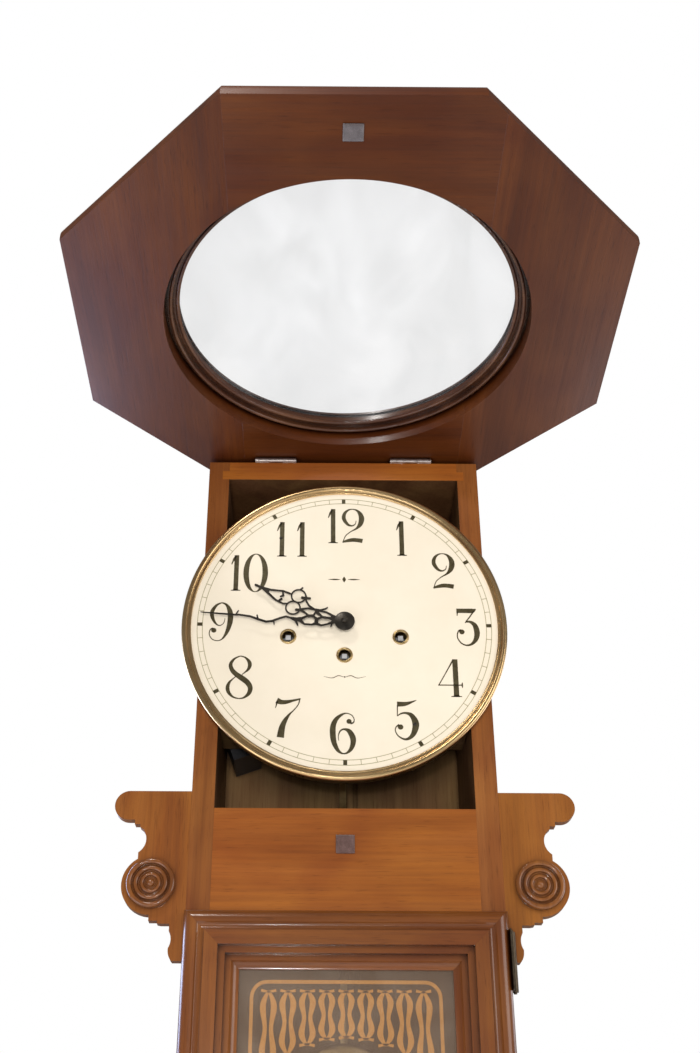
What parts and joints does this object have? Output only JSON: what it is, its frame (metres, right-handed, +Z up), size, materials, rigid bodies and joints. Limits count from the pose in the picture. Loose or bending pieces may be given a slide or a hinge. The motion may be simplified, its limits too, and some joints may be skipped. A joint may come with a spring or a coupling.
{
  "type": "pendulum wall clock",
  "caption": "Key-wound pendulum wall clock with an octagonal glazed hood that lifts from the dial and a glazed lower door.",
  "frame": {"origin": "centre of the wall hanger's hole, on the wall plane", "axes": "+Z up, -Y out of the wall towards the viewer, +X to the viewer's right"},
  "size_m": [0.503, 0.5826, 0.9496],
  "materials": {
    "case_wood": "satin lacquered, orange-brown cherry stain",
    "hood_wood": "satin lacquered, darker red-brown stain",
    "dark_wood": "gloss lacquered turned wood",
    "back_wood": "matt stained board",
    "dial_paint": "cream semi-matt paint",
    "brass": "lacquered, lightly brushed",
    "hand_metal": "satin near-black bronze",
    "steel": "ground",
    "glass": "clear",
    "felt": "grey felt pad"
  },
  "bodies": {
    "case": {"case_side_left": "case_wood", "case_side_right": "case_wood", "case_top": "case_wood", "case_bottom": "case_wood", "back_board_left": "back_wood", "back_board_right": "back_wood", "front_rail": "case_wood", "wing_left": "case_wood", "wing_right": "case_wood", "rosette_left": "dark_wood", "rosette_right": "dark_wood", "base_moulding": "case_wood", "apron": "case_wood", "hanger_plate": "steel", "rail_pad": "felt", "seat_board": "back_wood", "hood_hinge_case_leaf_left": "brass", "hood_hinge_case_leaf_right": "brass", "door_hinge_case_leaf_top": "brass", "door_hinge_case_leaf_bottom": "brass", "dial_plate": "dial_paint", "dial_bezel": "brass", "winding_eyelets": "brass", "dial_screws": "steel", "movement_front_plate": "brass", "movement_back_plate": "brass", "spring_barrels": "brass", "chime_rods": "brass"},
    "hood": {"hood_rail_top": "hood_wood", "hood_rail_bottom": "hood_wood", "hood_stile_left": "hood_wood", "hood_stile_right": "hood_wood", "hood_ring": "hood_wood", "hood_glass": "glass", "hood_glass_bead": "hood_wood", "hood_pad": "felt", "hood_hinge_hood_leaf_left": "brass", "hood_hinge_hood_leaf_right": "brass"},
    "door": {"door_rail_top": "case_wood", "door_rail_bottom": "case_wood", "door_stile_left": "case_wood", "door_stile_right": "case_wood", "door_glass": "glass", "door_knob": "brass", "door_hinge_door_leaf_top": "brass", "door_hinge_door_leaf_bottom": "brass"},
    "pendulum": {"pendulum_rod": "brass"},
    "bob": {"pendulum_bob": "brass", "rating_nut": "brass"},
    "pallets": {"anchor": "steel"},
    "escape": {"escape_wheel": "brass"},
    "minute": {"cannon_pinion": "steel", "minute_hand": "hand_metal", "hand_nut": "hand_metal"},
    "motion": {"minute_wheel": "brass"},
    "hour": {"hour_wheel": "brass", "hour_hand": "hand_metal"},
    "arbor_chime": {"winding_arbor_chime": "steel"},
    "arbor_time": {"winding_arbor_time": "steel"},
    "arbor_strike": {"winding_arbor_strike": "steel"}
  },
  "joints": [
    {"name": "hood_hinge", "type": "hinge", "parent": "case", "child": "hood", "pos_m": [0, -0.14, 0.043], "axis": [-1, 0, 0], "range_deg": [-95.7, 0]},
    {"name": "door_hinge", "type": "hinge", "parent": "case", "child": "door", "pos_m": [0.1432, -0.1432, -0.588], "axis": [0, 0, 1], "range_deg": [0, 100]},
    {"name": "pendulum_swing", "type": "hinge", "parent": "case", "child": "pendulum", "pos_m": [0, -0.046, -0.112], "axis": [0, 1, 0], "range_deg": [-3, 3]},
    {"name": "bob_slide", "type": "slide", "parent": "pendulum", "child": "bob", "axis": [0, 0, 1], "range_m": [-0.004, 0.006]},
    {"name": "pallet_rock", "type": "hinge", "parent": "case", "child": "pallets", "pos_m": [0, -0.076, -0.112], "axis": [0, 1, 0], "range_deg": [-3, 3]},
    {"name": "escape_spin", "type": "hinge", "parent": "case", "child": "escape", "pos_m": [0, -0.078, -0.142], "axis": [0, 1, 0], "continuous": true},
    {"name": "minute_spin", "type": "hinge", "parent": "case", "child": "minute", "pos_m": [0, -0.16, -0.156], "axis": [0, 1, 0], "continuous": true},
    {"name": "motion_spin", "type": "hinge", "parent": "case", "child": "motion", "pos_m": [0.0096, -0.13, -0.13937], "axis": [0, 1, 0], "continuous": true},
    {"name": "hour_spin", "type": "hinge", "parent": "case", "child": "hour", "pos_m": [0, -0.16, -0.156], "axis": [0, 1, 0], "continuous": true},
    {"name": "chime_winding", "type": "hinge", "parent": "case", "child": "arbor_chime", "pos_m": [0.0542, -0.13, -0.1686], "axis": [0, 1, 0], "range_deg": [0, 5400]},
    {"name": "time_winding", "type": "hinge", "parent": "case", "child": "arbor_time", "pos_m": [0, -0.13, -0.1879], "axis": [0, 1, 0], "range_deg": [0, 5400]},
    {"name": "strike_winding", "type": "hinge", "parent": "case", "child": "arbor_strike", "pos_m": [-0.0542, -0.13, -0.1686], "axis": [0, 1, 0], "range_deg": [0, 5400]}
  ],
  "couplings": [
    {"joint": "pallet_rock", "follows": "pendulum_swing", "ratio": 1},
    {"joint": "motion_spin", "follows": "minute_spin", "ratio": -0.33333},
    {"joint": "hour_spin", "follows": "minute_spin", "ratio": 0.083333}
  ]
}
